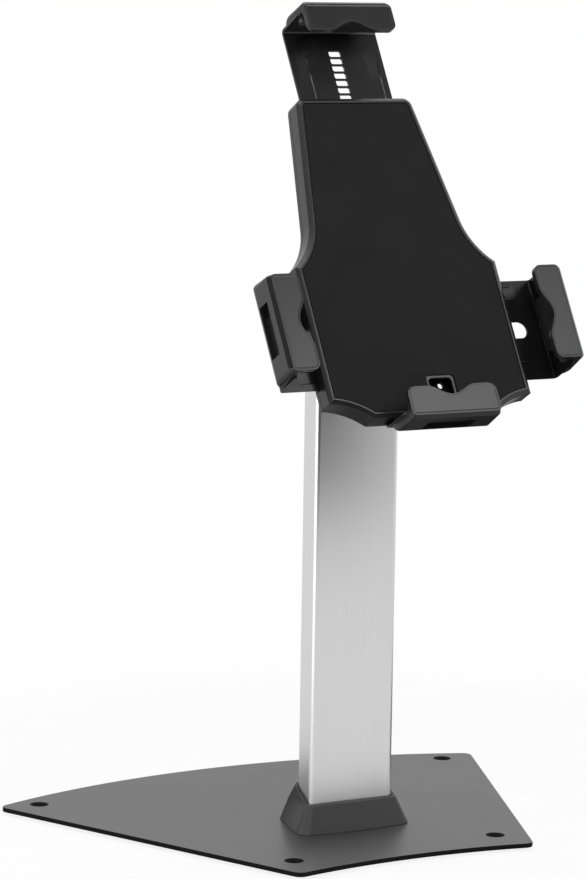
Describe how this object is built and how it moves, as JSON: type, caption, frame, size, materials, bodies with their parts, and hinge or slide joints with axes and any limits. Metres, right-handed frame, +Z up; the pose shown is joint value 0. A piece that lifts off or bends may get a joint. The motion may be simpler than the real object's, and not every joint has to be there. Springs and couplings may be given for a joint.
{
  "type": "locking tablet stand",
  "caption": "Freestanding locking tablet stand: fan-shaped steel foot, flat column, and a tilting, swivelling head whose sliding hooked arms clamp a tablet.",
  "frame": {"origin": "on the table, straight below the middle of the column, at the underside of the rubber feet", "axes": "+Z up, +X to the right when facing the stand, the front faces -Y"},
  "size_m": [0.3548, 0.296, 0.5241],
  "materials": {
    "dark_powder_coat": "satin",
    "anodised_aluminium": "satin",
    "dark_plastic": "matte",
    "black_rubber": "matte",
    "black_steel": "satin",
    "zinc_steel": "satin",
    "bright_chrome": "polished",
    "grey_nylon": "matte"
  },
  "bodies": {
    "stand": {"base_plate": "dark_powder_coat", "rubber_feet": "black_rubber", "base_collar": "dark_plastic", "column": "anodised_aluminium", "column_foot_screws": "zinc_steel", "column_cap": "dark_powder_coat", "column_cap_screws": "zinc_steel", "tilt_bolt": "zinc_steel", "tilt_nut": "zinc_steel", "tilt_friction_washers": "zinc_steel"},
    "tilting_bracket": {"tilt_bracket": "dark_powder_coat", "swivel_friction_disc": "grey_nylon"},
    "head": {"front_cover": "dark_plastic", "rear_cover": "dark_plastic", "front_pad": "black_rubber", "cover_screws": "zinc_steel", "bottom_bracket": "black_steel", "bottom_bracket_screws": "zinc_steel", "bottom_claw": "dark_plastic", "bottom_claw_pad": "black_rubber", "bottom_claw_screws": "zinc_steel", "head_mount_plate": "zinc_steel", "mount_plate_screws": "zinc_steel", "swivel_bolt": "zinc_steel", "swivel_nut": "zinc_steel", "lock_barrel": "bright_chrome", "lock_ring_nut": "bright_chrome", "pinion_axle": "zinc_steel"},
    "top_slider": {"top_arm": "black_steel", "top_claw": "dark_plastic", "top_claw_pad": "black_rubber", "top_claw_screws": "zinc_steel"},
    "right_slider": {"right_arm": "black_steel", "right_claw": "dark_plastic", "right_claw_pad": "black_rubber", "right_claw_screws": "zinc_steel"},
    "left_slider": {"left_arm": "black_steel", "left_claw": "dark_plastic", "left_claw_pad": "black_rubber", "left_claw_screws": "zinc_steel"},
    "pinion_wheel": {"pinion": "zinc_steel"},
    "lock_slider": {"lock_plunger": "bright_chrome", "lock_bar": "zinc_steel"},
    "plug_rotor": {"lock_plug": "bright_chrome"}
  },
  "joints": [
    {"name": "head_tilt", "type": "hinge", "parent": "stand", "child": "tilting_bracket", "pos_m": [0, 0, 0.347], "axis": [1, 0, 0], "range_deg": [-50, 30]},
    {"name": "head_swivel", "type": "hinge", "parent": "tilting_bracket", "child": "head", "pos_m": [0, -0.0485, 0.375], "axis": [0, -0.866, 0.5], "range_deg": [-90, 90]},
    {"name": "top_arm_slide", "type": "slide", "parent": "head", "child": "top_slider", "axis": [0, 0.5, 0.866], "range_m": [-0.0459, 0.0255]},
    {"name": "right_arm_slide", "type": "slide", "parent": "head", "child": "right_slider", "axis": [1, 0, 0], "range_m": [-0.01885, 0.01885]},
    {"name": "left_arm_slide", "type": "slide", "parent": "head", "child": "left_slider", "axis": [-1, 0, 0], "range_m": [-0.01885, 0.01885]},
    {"name": "pinion_turn", "type": "hinge", "parent": "head", "child": "pinion_wheel", "pos_m": [0, -0.06643, 0.32473], "axis": [0, -0.866, 0.5], "range_deg": [-121, 121]},
    {"name": "lock_push", "type": "slide", "parent": "head", "child": "lock_slider", "axis": [0, -0.866, 0.5], "range_m": [0, 0.003], "stiffness_N_per_m": 250, "springref_m": -0.004},
    {"name": "lock_turn", "type": "hinge", "parent": "lock_slider", "child": "plug_rotor", "pos_m": [0, 0.01396, 0.40718], "axis": [0, -0.866, 0.5], "range_deg": [0, 90]}
  ],
  "couplings": [
    {"joint": "left_arm_slide", "follows": "right_arm_slide", "ratio": 1},
    {"joint": "pinion_turn", "follows": "right_arm_slide", "rad_per_m": -111.11}
  ]
}
